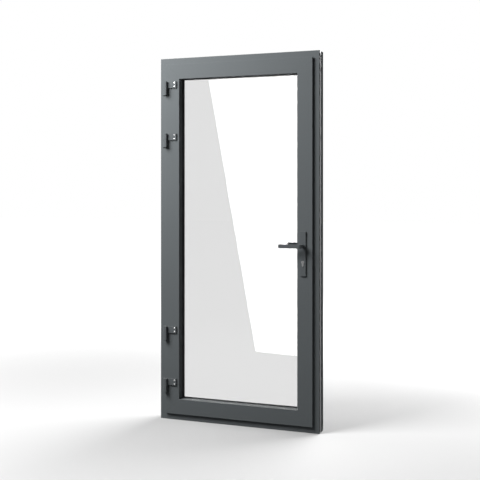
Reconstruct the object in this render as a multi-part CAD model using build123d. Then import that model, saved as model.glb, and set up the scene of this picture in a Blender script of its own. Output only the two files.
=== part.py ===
from build123d import *
import os

os.makedirs("parts", exist_ok=True)

# Single glazed swing door in its own frame, made of insulated aluminium profiles.
# Millimetres. X runs along the width and is 0 at the middle of the frame.
# Y runs through the door, is 0 at the middle of the leaf, and -Y is the side it opens to.
# Z is up and is 0 under the frame. The leaf hangs at -X and locks at +X.

# Overall sizes
frame_width = 1000.0
frame_height = 2200.0
frame_face_width = 38.0  # frame face that stays visible around the closed leaf
leaf_depth = 90.0
leaf_proud = 14.0  # how far the leaf face stands in front of the frame face
leaf_face_width = 90.0

# Extruded profiles
wall = 2.0
edge_radius = 1.0
mitre_gap = 0.2  # hairline between two members at a corner
cut = 1.0  # reach of a cutter past the face that it opens
overlap = 14.0  # leaf lip over the frame face
rebate_gap = 6.0  # between the leaf edge and the frame
seal_gap = 3.0  # between a leaf face and the frame face that it closes on
stop_reach = 20.0  # how far the stop stands into the opening
stop_thickness = 7.0
front_flange = 13.5
channel_width = 27.0
channel_depth = 8.0
frame_front_depth = 17.0
leaf_front_depth = 29.0
strip_span = 20.0  # plastic strips between the front and rear shells
strip_thickness = 2.5
strip_inset = 2.0

# Glass unit and its bed
nose_width = 12.0
glass_overlap = 13.0
block_thickness = 4.5
gasket_depth = 3.0
gasket_width = 10.0
pane_thickness = 6.0
pane_space = 18.0
spacer_width = 8.0
edge_seal_width = 3.0
block_length = 100.0
block_end_distance = 120.0
block_side_clearance = 1.0
bead_wall = 1.5
bead_depth = 9.0

# Rubber seals between leaf and frame
seal_width = 6.0
seal_inset = 6.0
seal_clearance = 0.3

# Corner cleats inside the profiles
cleat_clearance = 0.2
cleat_width = 28.0
cleat_arm_length = 90.0

# Hinges: a block with two knuckles on one pin
lower_hinges = (211.0, 528.0)  # middles above the bottom of the frame
upper_hinges = (500.0, 183.0)  # middles below the top of the frame
hinge_height = 82.0
leaf_knuckle_height = 40.0
knuckle_width = 24.0
knuckle_depth = 21.0
knuckle_radius = 6.0
knuckle_gap = 0.5
knuckle_leaf_gap = 2.5
axis_inset = 6.0  # hinge axis inside the edge of the leaf
pin_radius = 5.0
pin_end_wall = 3.0
pin_fixed_fit = 0.03
pin_running_fit = 0.06
wing_length = 68.0  # from the axis
wing_thickness = 7.0
wing_edge_radius = 1.0
wing_screw_edge = 12.0
wing_screw_end = 9.0
wing_screw_count = 2
foot_width = 23.5
foot_thickness = 5.5
foot_clearance = 1.5
foot_screw_edge = 9.0
foot_screw_end = 12.0
foot_screw_count = 3
foot_head_depth = 2.75

# Screws
screw_radius = 2.5
screw_head_radius = 4.75
screw_head_height = 2.4
screw_head_round = 1.68
screw_fit = 0.05
screw_socket = 3.0  # across flats
screw_socket_depth = 1.4
screw_tip = 12.0  # reach beyond the plate that it holds

# Lock, on the line where leaf and frame carry their hardware grooves
lock_y = 24.0
lever_z = 1075.0
lock_centres = 92.0  # lever axis above the cylinder axis
plate_width = 24.0
plate_thickness = 3.0
plate_head_depth = 2.4
plate_screw_end = 12.5
groove_clearance = 0.2
faceplate_top = 75.0
faceplate_bottom = 93.0
strike_end_margin = 25.0
case_thickness = 16.0
case_wall = 1.5
case_top = 45.0
case_bottom = 45.0
case_clearance = 0.3
case_back_clearance = 0.6
bolt_thickness = 12.0
bolt_clearance = 0.25
latch_height = 20.0
latch_throw = 13.0
latch_tail = 9.0
latch_bevel = 9.0
strike_clearance = 1.5
deadbolt_rise = 33.0  # its middle above the cylinder axis
deadbolt_height = 32.0
deadbolt_length = 38.0
hub_radius = 10.0
hub_thickness = 10.0
trunnion_radius = 9.0
running_fit = 0.06

# Profile cylinder
cylinder_radius = 8.5
cylinder_drop = 24.5
stem_width = 10.0
cylinder_proud = 2.0
cylinder_clearance = 0.4
plug_radius = 6.5
plug_fit = 0.05
cam_radius = 13.0
cam_width = 6.0
cam_thickness = 9.4
cam_slot = 10.0
cam_clearance = 0.4
cylinder_screw_drop = 20.3
keyway_width = 2.4
keyway_height = 8.5
keyway_depth = 12.0

# Levers and their backplates
backplate_width = 35.0
backplate_thickness = 7.0
backplate_top = 85.0  # above the lever axis
backplate_bottom = 81.0  # below the cylinder axis
backplate_radius = 2.0
backplate_screw_end = 15.0
backplate_head_depth = 3.5
backplate_bite = 4.2  # thread of the through screws in the front plate
spindle_size = 8.0
spindle_clearance = 0.05
spindle_end = 64.0
collar_radius = 10.5
collar_length = 12.0
lever_boss_depth = 6.0
lever_root_depth = 6.0  # bar inside the collar
lever_height = 21.6
lever_thickness = 10.0
lever_length = 134.0
lever_stand = 53.0  # front of the lever in front of the leaf face
lever_bend_radius = 17.5
lever_tip_radius = 3.0
lever_edge_radius = 2.5
lever_passage = 10.0  # radius of the hole that the lever works go through

# Fixings to the wall
wall_hole_radius = 3.75
wall_hole_count = 4
wall_hole_spacing = 550.0

# Planes and edges that follow from the sizes above
leaf_front_y = -leaf_depth / 2
leaf_rear_y = leaf_depth / 2
frame_depth = leaf_depth - leaf_proud + seal_gap + stop_thickness
frame_front_y = leaf_front_y + leaf_proud
frame_rear_y = frame_front_y + frame_depth
middle_z = frame_height / 2
leaf_width = frame_width - 2 * frame_face_width
leaf_height = frame_height - 2 * frame_face_width
lip_length = overlap + rebate_gap
lip_depth = leaf_proud - seal_gap
frame_front_width = frame_face_width + overlap
frame_rear_width = frame_front_width + stop_reach
stop_front = leaf_rear_y + seal_gap - frame_front_y
frame_rear_start = frame_front_depth + strip_span
leaf_rear_start = leaf_front_depth + strip_span
glass_edge = leaf_face_width - glass_overlap
rebate_floor = glass_edge - block_thickness
bead_front = leaf_depth - bead_depth
glass_rear = bead_front - gasket_depth
glass_front = glass_rear - pane_space - 2 * pane_thickness
nose_depth = glass_front - gasket_depth  # reveal in front of the glass bed
groove_width = plate_width + 2 * groove_clearance
groove_start_leaf = lock_y - groove_width / 2 - leaf_front_y
groove_start_frame = lock_y - groove_width / 2 - frame_front_y
leaf_edge_x = leaf_width / 2 - lip_length
frame_edge_x = frame_width / 2 - frame_front_width
case_back = rebate_floor - wall - case_back_clearance  # from the outer edge of the leaf
backset = case_back - case_wall - cam_clearance - cam_radius - lip_length
handle_x = leaf_edge_x - backset
cylinder_z = lever_z - lock_centres
axis_x = -leaf_width / 2 + axis_inset
axis_y = leaf_front_y - knuckle_leaf_gap - knuckle_depth / 2
hinge_heights = (*lower_hinges, *[frame_height - drop for drop in upper_hinges])
knuckle_left = axis_x + knuckle_depth / 2 - knuckle_width
foot_right = -leaf_width / 2 - foot_clearance
screw_wall_bite = wall + screw_tip
quarter_turns = {"left": 0, "top": 90, "right": 180, "bottom": 270}


def block(x0, x1, y0, y1, z0, z1):
    """Box between two values on each axis."""
    middle = Pos((x0 + x1) / 2, (y0 + y1) / 2, (z0 + z1) / 2)
    return middle * Box(abs(x1 - x0), abs(y1 - y0), abs(z1 - z0))


def round_x(y, z, radius, x0, x1):
    """Cylinder that lies along X."""
    return Pos((x0 + x1) / 2, y, z) * Rot(0, 90, 0) * Cylinder(radius, abs(x1 - x0))


def round_y(x, z, radius, y0, y1):
    """Cylinder that lies along Y."""
    return Pos(x, (y0 + y1) / 2, z) * Rot(90, 0, 0) * Cylinder(radius, abs(y1 - y0))


def round_z(x, y, radius, z0, z1):
    """Upright cylinder."""
    return Pos(x, y, (z0 + z1) / 2) * Cylinder(radius, abs(z1 - z0))


def section(points, rounded=()):
    """Closed outline whose listed corners are rounded."""
    radii = [edge_radius if index in rounded else 0 for index in range(len(points))]
    return make_face(FilletPolyline(*points, radius=radii, close=True))


def hollow_section(points, rounded, thickness):
    """Outline of an extruded tube with one wall thickness all round."""
    chamber = offset(section(points), -thickness, kind=Kind.INTERSECTION)
    return section(points, rounded) - chamber


def mitred_bar(face, length):
    """Bar with 45 degree ends. The face has x inwards from the outer edge and y as depth."""
    reach = face.bounding_box().max.X + cut
    half = length / 2 - mitre_gap / 2
    ends = [(-cut, -half - cut), (-cut, half + cut), (reach, half - reach), (reach, reach - half)]
    depth = frame_depth + leaf_depth
    cutter = extrude(Plane.XZ * make_face(Polyline(*ends, close=True)), depth, both=True)
    return extrude(face, length / 2 + cut, both=True) & cutter


def place_bar(bar, side, width, height, front_y):
    """Turn a bar to its side of a rectangle of the given outer size."""
    across = width if side in ("left", "right") else height
    moved = Pos(-across / 2, front_y, 0) * bar
    return Pos(0, 0, middle_z) * Rot(0, quarter_turns[side], 0) * moved


def bars(face, width, height, front_y):
    """Four mitred bars round a rectangle, by side."""
    made = {}
    for side in quarter_turns:
        length = height if side in ("left", "right") else width
        made[side] = place_bar(mitred_bar(face, length), side, width, height, front_y)
    return made


def ring(width, height, inset0, inset1, y0, y1):
    """Flat rectangular ring between two insets from the outer edge of a rectangle."""
    outer = block(-width / 2 + inset0, width / 2 - inset0, y0, y1, inset0, height - inset0)
    inner = block(-width / 2 + inset1, width / 2 - inset1, y0 - cut, y1 + cut, inset1, height - inset1)
    return Pos(0, 0, middle_z - height / 2) * (outer - inner)


def group(solids):
    """Separate solids that share one node."""
    return Compound(children=[solid for item in solids for solid in item.solids()])


def frame_sections():
    """Front shell, rear shell with the stop, and the strips between them."""
    groove = groove_start_frame
    front = [
        (0, 0),
        (frame_front_width, 0),
        (frame_front_width, frame_front_depth),
        (channel_depth, frame_front_depth),
        (channel_depth, front_flange),
        (0, front_flange),
    ]
    rear = [
        (channel_depth, frame_rear_start),
        (frame_front_width, frame_rear_start),
        (frame_front_width, groove),
        (frame_front_width - plate_thickness, groove),
        (frame_front_width - plate_thickness, groove + groove_width),
        (frame_front_width, groove + groove_width),
        (frame_front_width, stop_front),
        (frame_rear_width, stop_front),
        (frame_rear_width, frame_depth),
        (0, frame_depth),
        (0, front_flange + channel_width),
        (channel_depth, front_flange + channel_width),
    ]
    front_shell = hollow_section(front, (0, 1, 5), wall)
    rear_shell = hollow_section(rear, (7, 8, 9, 10), wall)
    return front_shell, rear_shell


def leaf_sections():
    """Front shell with lip and glazing nose, and the rear shell."""
    groove = groove_start_leaf
    front = [
        (0, 0),
        (leaf_face_width, 0),
        (leaf_face_width, nose_depth),
        (leaf_face_width - nose_width, nose_depth),
        (leaf_face_width - nose_width, leaf_front_depth),
        (lip_length, leaf_front_depth),
        (lip_length, lip_depth),
        (0, lip_depth),
    ]
    rear = [
        (lip_length, leaf_rear_start),
        (rebate_floor, leaf_rear_start),
        (rebate_floor, leaf_depth),
        (lip_length, leaf_depth),
        (lip_length, groove + groove_width),
        (lip_length + plate_thickness, groove + groove_width),
        (lip_length + plate_thickness, groove),
        (lip_length, groove),
    ]
    return hollow_section(front, (0, 1, 7), wall), hollow_section(rear, (3,), wall)


def strips(width, height, outer_side, inner_side, front_y, start):
    """Two plastic strips in each member, set in a little from both sides."""
    first = outer_side + strip_inset
    last = inner_side - strip_inset - strip_thickness
    made = []
    for inset in (first, last):
        corners = [
            (inset, start),
            (inset + strip_thickness, start),
            (inset + strip_thickness, start + strip_span),
            (inset, start + strip_span),
        ]
        made += bars(section(corners), width, height, front_y).values()
    return made


def cleats(width, height, chamber_inset, y0, y1):
    """L-shaped blocks that join two members in each corner of a chamber."""
    inset = chamber_inset + cleat_clearance
    band = ring(width, height, inset, inset + cleat_width, y0 + cleat_clearance, y1 - cleat_clearance)
    far = inset + cleat_arm_length
    band -= block(-width / 2 + far, width / 2 - far, y0, y1, 0, frame_height)
    band -= block(-width / 2, width / 2, y0, y1, middle_z - height / 2 + far, middle_z + height / 2 - far)
    return band.solids()


def countersunk(length, head_depth):
    """Countersunk screw along +Y with its flat head at y 0."""
    head = Rot(-90, 0, 0) * Pos(0, 0, head_depth / 2) * Cone(screw_head_radius, screw_radius, head_depth)
    shank = round_y(0, 0, screw_radius, head_depth, length)
    return head + shank - socket()


def socket():
    """Hexagon recess in a screw head at y 0."""
    hexagon = RegularPolygon(screw_socket / 2, 6, major_radius=False)
    return Pos(0, screw_socket_depth, 0) * Rot(90, 0, 0) * extrude(hexagon, screw_socket_depth + cut)


def button_screw(length):
    """Button head screw along +Y, its head in front of y 0."""
    head = round_y(0, 0, screw_head_radius, -screw_head_height, 0)
    rim = head.edges().filter_by(GeomType.CIRCLE).sort_by(Axis.Y)[0]
    head = fillet(rim, screw_head_round)
    return head + round_y(0, 0, screw_radius, 0, length) - Pos(0, -screw_head_height, 0) * socket()


def countersink(head_depth, thickness):
    """Hole for a countersunk screw along +Y through a plate whose face is at y 0."""
    cone = Cone(screw_head_radius + screw_fit, screw_radius + screw_fit, head_depth)
    seat = Rot(-90, 0, 0) * Pos(0, 0, head_depth / 2) * cone
    return seat + round_y(0, 0, screw_radius + screw_fit, 0, thickness + cut)


def wall_hole_y(x, z, face_y):
    """Cutter for a screw hole through a profile wall, along Y."""
    return round_y(x, z, screw_radius + screw_fit, face_y - cut, face_y + wall + cut)


def hinge_screw_places():
    """Screw positions of every hinge: on the frame foot and on the leaf wing."""
    foot_x = foot_right - foot_width + foot_screw_edge
    foot_pitch = (hinge_height - 2 * foot_screw_end) / (foot_screw_count - 1)
    wing_x = axis_x + wing_length - wing_screw_edge
    wing_pitch = (leaf_knuckle_height - 2 * wing_screw_end) / (wing_screw_count - 1)
    foot = []
    wing = []
    for middle in hinge_heights:
        low = middle - hinge_height / 2
        high = middle + hinge_height / 2
        foot += [(foot_x, low + foot_screw_end + step * foot_pitch) for step in range(foot_screw_count)]
        wing += [(wing_x, high - wing_screw_end - step * wing_pitch) for step in range(wing_screw_count)]
    return foot, wing


def knuckle(z0, z1):
    """Rounded block round the hinge axis, wider on the frame side."""
    outline = RectangleRounded(knuckle_width, knuckle_depth, knuckle_radius)
    return Pos(knuckle_left + knuckle_width / 2, axis_y, z0) * extrude(outline, z1 - z0)


def hinge_frame_part(middle):
    """Lower knuckle, its web and the foot on the frame face."""
    low = middle - hinge_height / 2
    high = middle + hinge_height / 2
    top = high - leaf_knuckle_height - knuckle_gap
    body = knuckle(low, top)
    body += block(knuckle_left, foot_right, axis_y, frame_front_y, low, top)
    foot_left = foot_right - foot_width
    body += block(foot_left, foot_right, frame_front_y - foot_thickness, frame_front_y, low, high)
    body -= round_z(axis_x, axis_y, pin_radius + pin_fixed_fit, low + pin_end_wall, high)
    return body


def hinge_leaf_part(middle):
    """Upper knuckle and the wing on the leaf face."""
    high = middle + hinge_height / 2
    low = high - leaf_knuckle_height
    wing = block(axis_x, axis_x + wing_length, leaf_front_y - wing_thickness, leaf_front_y, low, high)
    outer = wing.faces().sort_by(Axis.X)[-1].edges() & wing.faces().sort_by(Axis.Y)[0].edges()
    wing = fillet(outer, wing_edge_radius)
    body = knuckle(low, high) + wing
    return body - round_z(axis_x, axis_y, pin_radius + pin_running_fit, low - cut, high - pin_end_wall)


def hinge_pin(middle):
    """Pin that stands in the lower knuckle and reaches into the upper one."""
    low = middle - hinge_height / 2 + pin_end_wall
    high = middle + hinge_height / 2 - pin_end_wall - knuckle_gap
    return round_z(axis_x, axis_y, pin_radius, low, high)


def profile_cylinder(y0, y1, grow=0.0):
    """Round part and stem of a profile cylinder, as a solid or as a larger cutter."""
    half = stem_width / 2
    round_part = round_y(handle_x, cylinder_z, cylinder_radius + grow, y0, y1)
    foot_z = cylinder_z - cylinder_drop + half
    stem = block(handle_x - half - grow, handle_x + half + grow, y0, y1, foot_z, cylinder_z)
    return round_part + stem + round_y(handle_x, foot_z, half + grow, y0, y1)


def bolt_openings(x0, x1, grow):
    """Cutters round the latch and the deadbolt."""
    half = bolt_thickness / 2 + grow
    y0 = lock_y - half
    y1 = lock_y + half
    latch = block(x0, x1, y0, y1, lever_z - latch_height / 2 - grow, lever_z + latch_height / 2 + grow)
    middle = cylinder_z + deadbolt_rise
    reach = deadbolt_height / 2 + grow
    return latch + block(x0, x1, y0, y1, middle - reach, middle + reach)


def plate_screw_place(x, z, side):
    """Place of a screw in a lock plate. Its head faces the gap between leaf and frame."""
    return Pos(x, lock_y, z) * Rot(0, 0, 90 if side == "leaf" else -90)


def plate_screw(x, z, side):
    """Countersunk screw through a lock plate, driven along X."""
    screw = countersunk(plate_thickness + screw_wall_bite, plate_head_depth)
    return plate_screw_place(x, z, side) * screw


def plate_countersink(x, z, side):
    """Seat of such a screw."""
    return plate_screw_place(x, z, side) * countersink(plate_head_depth, plate_thickness)


def lever():
    """Front lever: boss, collar and a flat bar with one rounded bend."""
    front = leaf_front_y - lever_stand
    plate_face = leaf_front_y - backplate_thickness
    left = handle_x - lever_thickness / 2
    right = handle_x + lever_thickness / 2
    tip = handle_x - lever_length
    neck = plate_face - collar_length + lever_root_depth
    plan = [
        (right, neck),
        (right, front),
        (tip, front),
        (tip, front + lever_thickness),
        (left, front + lever_thickness),
        (left, neck),
    ]
    inner_radius = lever_bend_radius - lever_thickness
    radii = [0, lever_bend_radius, lever_tip_radius, lever_tip_radius, inner_radius, 0]
    bar = extrude(make_face(FilletPolyline(*plan, radius=radii, close=True)), lever_height / 2, both=True)
    rim = bar.faces().sort_by(Axis.Z)[-1].edges() + bar.faces().sort_by(Axis.Z)[0].edges()
    rim = [edge for edge in rim if edge.center().Y < neck - cut]
    bar = Pos(0, 0, lever_z) * fillet(rim, lever_edge_radius)
    collar = round_y(handle_x, lever_z, collar_radius, plate_face, plate_face - collar_length)
    boss = round_y(handle_x, lever_z, trunnion_radius, plate_face + lever_boss_depth, plate_face)
    return bar + collar + boss - spindle(spindle_clearance)


def spindle(grow=0.0):
    """Square bar through both levers and the lock."""
    half = spindle_size / 2 + grow
    end = spindle_end + grow
    return block(handle_x - half, handle_x + half, -end, end, lever_z - half, lever_z + half)


def backplate():
    """Front plate that carries a lever and frames the cylinder."""
    y0 = leaf_front_y - backplate_thickness
    low = cylinder_z - backplate_bottom
    high = lever_z + backplate_top
    half = backplate_width / 2
    plate = block(handle_x - half, handle_x + half, y0, leaf_front_y, low, high)
    plate = fillet(plate.edges().filter_by(Axis.Y), backplate_radius)
    plate = fillet(plate.faces().sort_by(Axis.Y)[0].edges(), edge_radius)
    plate -= round_y(handle_x, lever_z, trunnion_radius + running_fit, y0 - cut, leaf_front_y + cut)
    return plate - profile_cylinder(y0 - cut, leaf_front_y + cut, cylinder_clearance)


def backplate_screw_heights():
    """The two through screws sit near the ends of the plates."""
    return (
        cylinder_z - backplate_bottom + backplate_screw_end,
        lever_z + backplate_top - backplate_screw_end,
    )


def lock_cylinder():
    """Cylinder body with the bores of both plugs and the slot of the cam."""
    y_end = -leaf_front_y + backplate_thickness + cylinder_proud
    body = profile_cylinder(-y_end, y_end)
    body -= round_y(handle_x, cylinder_z, plug_radius + plug_fit, -y_end - cut, y_end + cut)
    slot_low = cylinder_z - cam_radius - cam_clearance
    slot_y = cam_slot / 2
    side = cylinder_radius + 1
    body -= block(
        handle_x - side, handle_x + side, lock_y - slot_y, lock_y + slot_y, slot_low, cylinder_z + side
    )
    screw_z = cylinder_z - cylinder_screw_drop
    return body - round_x(lock_y, screw_z, screw_radius + screw_fit, handle_x - side, handle_x + side)


def key_plug(y_face, y_inner):
    """Turning plug with its keyway, from the cylinder face inwards."""
    plug = round_y(handle_x, cylinder_z, plug_radius, y_face, y_inner)
    inwards = 1 if y_inner > y_face else -1
    end = y_face + inwards * keyway_depth
    half = keyway_width / 2
    low = cylinder_z - keyway_height / 2
    return plug - block(handle_x - half, handle_x + half, y_face - inwards, end, low, low + keyway_height)


def lock_case():
    """Sheet metal box, open towards the faceplate, pierced for lever and cylinder."""
    x_open = leaf_edge_x - plate_thickness
    x_back = leaf_width / 2 - case_back
    y0 = lock_y - case_thickness / 2
    y1 = lock_y + case_thickness / 2
    low = cylinder_z - case_bottom
    high = lever_z + case_top
    box = block(x_back, x_open, y0, y1, low, high)
    box -= block(
        x_back + case_wall, x_open + cut, y0 + case_wall, y1 - case_wall, low + case_wall, high - case_wall
    )
    box -= round_y(handle_x, lever_z, trunnion_radius + running_fit, y0 - cut, y1 + cut)
    return box - profile_cylinder(y0 - cut, y1 + cut, cylinder_clearance)


def faceplate_ends():
    """Lower and upper end of the faceplate."""
    return cylinder_z - faceplate_bottom, lever_z + faceplate_top


def strike_ends():
    """Lower and upper end of the strike plate."""
    low = cylinder_z + deadbolt_rise - deadbolt_height / 2 - strike_clearance
    high = lever_z + latch_height / 2 + strike_clearance
    return low - strike_end_margin, high + strike_end_margin


def glass_blocks():
    """Setting blocks between the glass edge and the rebate, two on each side."""
    y0 = leaf_front_y + glass_front + block_side_clearance
    y1 = leaf_front_y + glass_rear - block_side_clearance
    y0 = max(y0, leaf_front_y + leaf_rear_start)
    made = []
    for side in quarter_turns:
        upright = side in ("left", "right")
        length = leaf_height if upright else leaf_width
        across = leaf_width if upright else leaf_height
        inset = rebate_floor - across / 2
        for direction in (-1, 1):
            middle = direction * (length / 2 - glass_edge - block_end_distance)
            low = middle - block_length / 2
            piece = block(inset, inset + block_thickness, y0, y1, low, low + block_length)
            made.append(Pos(0, 0, middle_z) * Rot(0, quarter_turns[side], 0) * piece)
    return made


def wall_holes(side):
    """Holes for the screws that fix a jamb to the wall, right through the rear shell."""
    sign = -1 if side == "left" else 1
    outer = sign * (frame_width / 2 + cut)
    inner = sign * (frame_edge_x - cut)
    first = middle_z - wall_hole_spacing * (wall_hole_count - 1) / 2
    heights = [first + step * wall_hole_spacing for step in range(wall_hole_count)]
    return group([round_x(lock_y, z, wall_hole_radius, outer, inner) for z in heights])


def build_frame(nodes):
    """Members, strips, cleats and the stop seal of the outer frame."""
    front_shell, rear_shell = frame_sections()
    fronts = bars(front_shell, frame_width, frame_height, frame_front_y)
    rears = bars(rear_shell, frame_width, frame_height, frame_front_y)
    foot_screws, _ = hinge_screw_places()
    for x, z in foot_screws:
        fronts["left"] -= wall_hole_y(x, z, frame_front_y)
    for side in ("left", "right"):
        rears[side] -= wall_holes(side)
    strike_x = frame_edge_x + plate_thickness
    rears["right"] -= bolt_openings(strike_x - cut, strike_x + wall + cut, strike_clearance)
    for z in strike_screw_heights():
        rears["right"] -= round_x(lock_y, z, screw_radius + screw_fit, strike_x - cut, strike_x + wall + cut)
    for side in quarter_turns:
        nodes["frame_front_" + side] = fronts[side]
        nodes["frame_rear_" + side] = rears[side]
    nodes["frame_insulating_strips"] = group(
        strips(frame_width, frame_height, channel_depth, frame_front_width, frame_front_y, frame_front_depth)
    )
    inset = channel_depth + wall
    front_y = (frame_front_y + wall, frame_front_y + frame_front_depth - wall)
    rear_y = (frame_front_y + frame_rear_start + wall, frame_rear_y - wall)
    nodes["frame_corner_cleats"] = group(
        [
            *cleats(frame_width, frame_height, inset, *front_y),
            *cleats(frame_width, frame_height, inset, *rear_y),
        ]
    )
    nodes["frame_stop_seal"] = ring(
        frame_width,
        frame_height,
        frame_front_width + rebate_gap + strip_inset,
        frame_front_width + rebate_gap + strip_inset + seal_width,
        leaf_rear_y + seal_clearance,
        leaf_rear_y + seal_gap,
    )


def strike_screw_heights():
    """Screws near both ends of the strike plate."""
    low, high = strike_ends()
    return low + plate_screw_end, high - plate_screw_end


def build_strike(nodes):
    """Strike plate, flush in the groove of the lock jamb, and the screws on the frame."""
    low, high = strike_ends()
    x0 = frame_edge_x
    x1 = x0 + plate_thickness
    half = plate_width / 2
    plate = block(x0, x1, lock_y - half, lock_y + half, low, high)
    plate -= bolt_openings(x0 - cut, x1 + cut, strike_clearance)
    screws = []
    for z in strike_screw_heights():
        plate -= plate_countersink(x0, z, "frame")
        screws.append(plate_screw(x0, z, "frame"))
    nodes["strike_plate"] = plate
    foot_face = frame_front_y - foot_thickness
    foot_screws, _ = hinge_screw_places()
    for x, z in foot_screws:
        screws.append(Pos(x, foot_face, z) * countersunk(foot_thickness + screw_wall_bite, foot_head_depth))
    nodes["frame_screws"] = group(screws)


def build_hinges(nodes):
    """Four hinges, each with a frame part, a leaf part and a pin."""
    foot_screws, wing_screws = hinge_screw_places()
    foot_face = frame_front_y - foot_thickness
    seats = [Pos(x, foot_face, z) * countersink(foot_head_depth, foot_thickness) for x, z in foot_screws]
    wing_face = leaf_front_y - wing_thickness
    holes = [round_y(x, z, screw_radius + screw_fit, wing_face - cut, leaf_front_y + cut) for x, z in wing_screws]
    for index, middle in enumerate(hinge_heights):
        number = str(index + 1)
        nodes["hinge_frame_part_" + number] = hinge_frame_part(middle) - group(
            seats[index * foot_screw_count : (index + 1) * foot_screw_count]
        )
        own_holes = holes[index * wing_screw_count : (index + 1) * wing_screw_count]
        nodes["hinge_leaf_part_" + number] = hinge_leaf_part(middle) - group(own_holes)
    nodes["hinge_pins"] = group([hinge_pin(middle) for middle in hinge_heights])
    nodes["hinge_leaf_screws"] = group(
        [Pos(x, wing_face, z) * button_screw(wing_thickness + screw_wall_bite) for x, z in wing_screws]
    )


def build_leaf(nodes):
    """Members, strips, cleats and the lip seal of the leaf."""
    front_shell, rear_shell = leaf_sections()
    fronts = bars(front_shell, leaf_width, leaf_height, leaf_front_y)
    rears = bars(rear_shell, leaf_width, leaf_height, leaf_front_y)
    _, wing_screws = hinge_screw_places()
    for x, z in wing_screws:
        fronts["left"] -= wall_hole_y(x, z, leaf_front_y)
    passage = profile_cylinder(leaf_front_y - cut, leaf_rear_y + cut, cylinder_clearance)
    passage += round_y(handle_x, lever_z, lever_passage, leaf_front_y - cut, leaf_rear_y + cut)
    for z in backplate_screw_heights():
        passage += round_y(handle_x, z, screw_radius + case_clearance, leaf_front_y - cut, leaf_rear_y + cut)
    fronts["right"] -= passage
    rears["right"] -= passage
    floor_x = leaf_edge_x - plate_thickness
    reach = case_thickness / 2 + case_clearance
    low = cylinder_z - case_bottom - case_clearance
    high = lever_z + case_top + case_clearance
    rears["right"] -= block(floor_x - wall - cut, floor_x + cut, lock_y - reach, lock_y + reach, low, high)
    for z in faceplate_screw_heights():
        rears["right"] -= round_x(lock_y, z, screw_radius + screw_fit, floor_x - wall - cut, floor_x + cut)
    for side in quarter_turns:
        nodes["leaf_front_" + side] = fronts[side]
        nodes["leaf_rear_" + side] = rears[side]
    nodes["leaf_insulating_strips"] = group(
        strips(leaf_width, leaf_height, lip_length, rebate_floor, leaf_front_y, leaf_front_depth)
    )
    front_y = (leaf_front_y + wall, leaf_front_y + leaf_front_depth - wall)
    rear_y = (leaf_front_y + leaf_rear_start + wall, leaf_rear_y - wall)
    nodes["leaf_corner_cleats"] = group(
        [
            *cleats(leaf_width, leaf_height, lip_length + wall, *front_y),
            *cleats(leaf_width, leaf_height, lip_length + plate_thickness + wall, *rear_y),
        ]
    )
    nodes["leaf_lip_seal"] = ring(
        leaf_width,
        leaf_height,
        seal_inset,
        seal_inset + seal_width,
        leaf_front_y + lip_depth,
        frame_front_y - seal_clearance,
    )


def build_glazing(nodes):
    """Glass unit, gaskets, beads and setting blocks."""
    front_y = leaf_front_y + glass_front
    rear_y = leaf_front_y + glass_rear
    half = leaf_width / 2 - glass_edge
    low = frame_face_width + glass_edge
    high = frame_height - low
    nodes["pane_front"] = block(-half, half, front_y, front_y + pane_thickness, low, high)
    nodes["pane_rear"] = block(-half, half, rear_y - pane_thickness, rear_y, low, high)
    inner = glass_edge + edge_seal_width
    space = (front_y + pane_thickness, rear_y - pane_thickness)
    nodes["pane_spacer"] = group(
        [
            ring(leaf_width, leaf_height, glass_edge, inner, *space),
            ring(leaf_width, leaf_height, inner, inner + spacer_width, *space),
        ]
    )
    gasket = (leaf_face_width - gasket_width, leaf_face_width)
    nodes["glazing_gasket_front"] = ring(
        leaf_width, leaf_height, *gasket, leaf_front_y + nose_depth, front_y
    )
    nodes["glazing_gasket_rear"] = ring(leaf_width, leaf_height, *gasket, rear_y, rear_y + gasket_depth)
    corners = [
        (rebate_floor, bead_front),
        (leaf_face_width, bead_front),
        (leaf_face_width, leaf_depth),
        (rebate_floor, leaf_depth),
    ]
    beads = bars(hollow_section(corners, (2,), bead_wall), leaf_width, leaf_height, leaf_front_y)
    for side, bead in beads.items():
        nodes["glazing_bead_" + side] = bead
    nodes["glass_setting_blocks"] = group(glass_blocks())


def faceplate_screw_heights():
    """Screws near both ends of the faceplate."""
    low, high = faceplate_ends()
    return low + plate_screw_end, high - plate_screw_end


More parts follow.
